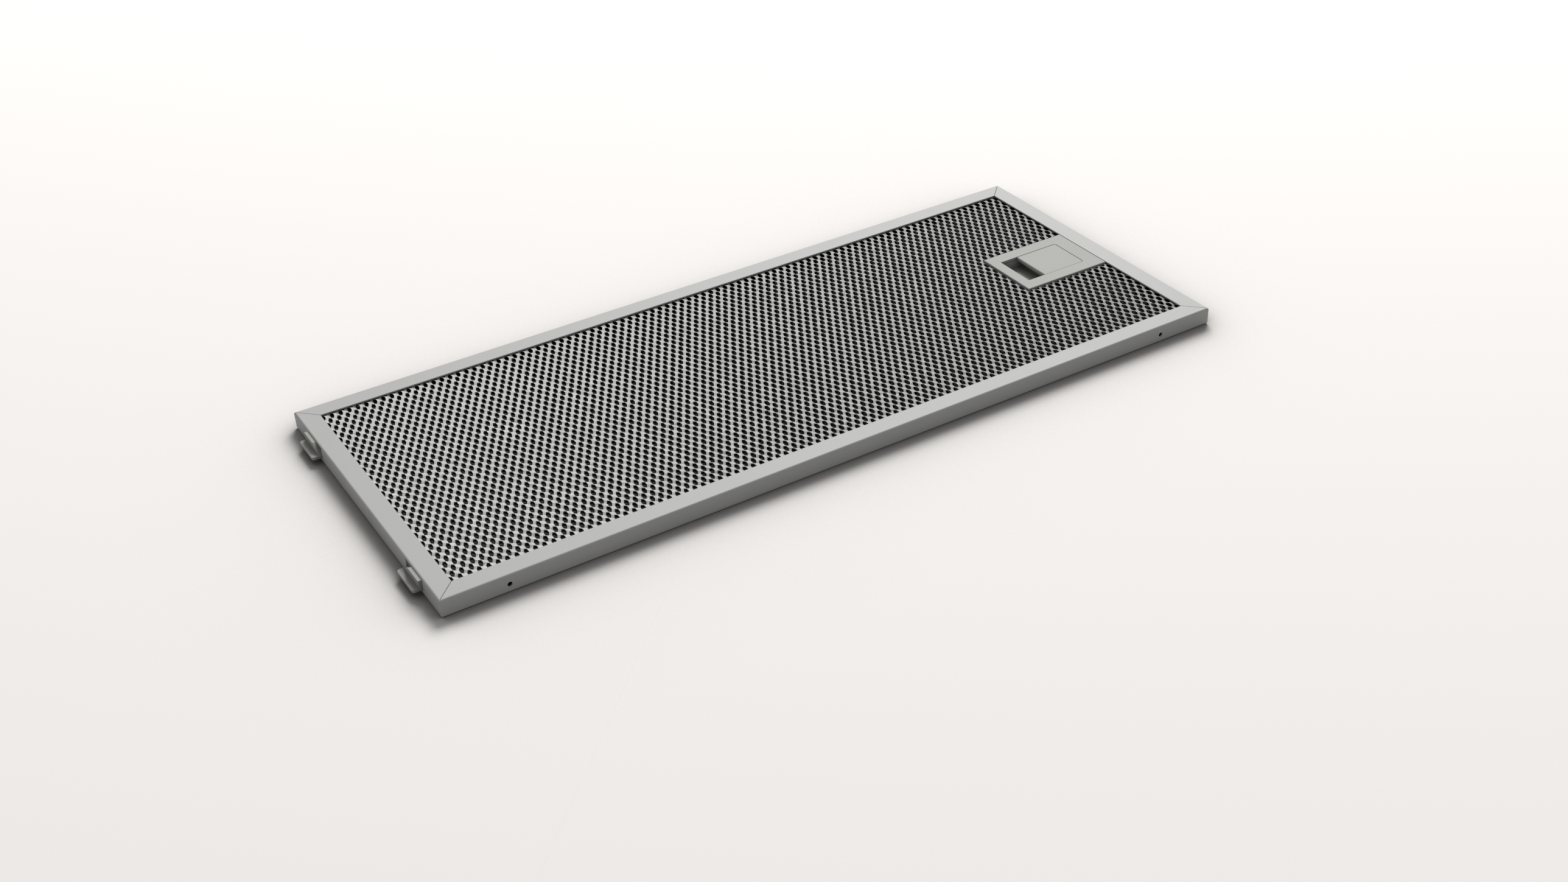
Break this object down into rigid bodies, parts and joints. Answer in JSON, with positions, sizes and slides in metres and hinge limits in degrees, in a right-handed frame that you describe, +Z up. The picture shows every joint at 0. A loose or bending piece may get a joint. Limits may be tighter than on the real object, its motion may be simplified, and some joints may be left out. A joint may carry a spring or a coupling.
{
  "type": "cooker hood grease filter",
  "caption": "Flat rectangular cooker hood grease filter: folded aluminium frame around an expanded metal mesh pack, with hooks at one end and a sprung pull latch at the other.",
  "frame": {"origin": "under the middle of the frame, on the plane that the rear flange lies on", "axes": "X along the length toward the latch, Y across the width, Z up out of the face that carries the latch"},
  "size_m": [0.455, 0.185, 0.0095],
  "materials": {
    "frame_aluminium": "satin",
    "mesh_aluminium": "satin",
    "grey_plastic": "matt",
    "spring_steel": "drawn wire"
  },
  "bodies": {
    "filter": {"frame": "frame_aluminium", "top_grid": "mesh_aluminium", "bottom_grid": "mesh_aluminium", "mesh_layer_1": "mesh_aluminium", "mesh_layer_2": "mesh_aluminium", "mesh_layer_3": "mesh_aluminium", "mesh_layer_4": "mesh_aluminium", "mesh_layer_5": "mesh_aluminium", "latch_housing": "grey_plastic", "latch_cover": "grey_plastic", "latch_spring": "spring_steel", "hook_front": "grey_plastic", "hook_back": "grey_plastic"},
    "slider": {"latch_slider": "grey_plastic"}
  },
  "joints": [
    {"name": "latch_slide", "type": "slide", "parent": "filter", "child": "slider", "axis": [-1, 0, 0], "range_m": [0, 0.0042], "stiffness_N_per_m": 300, "springref_m": -0.008, "deforming": ["latch_spring"]}
  ]
}
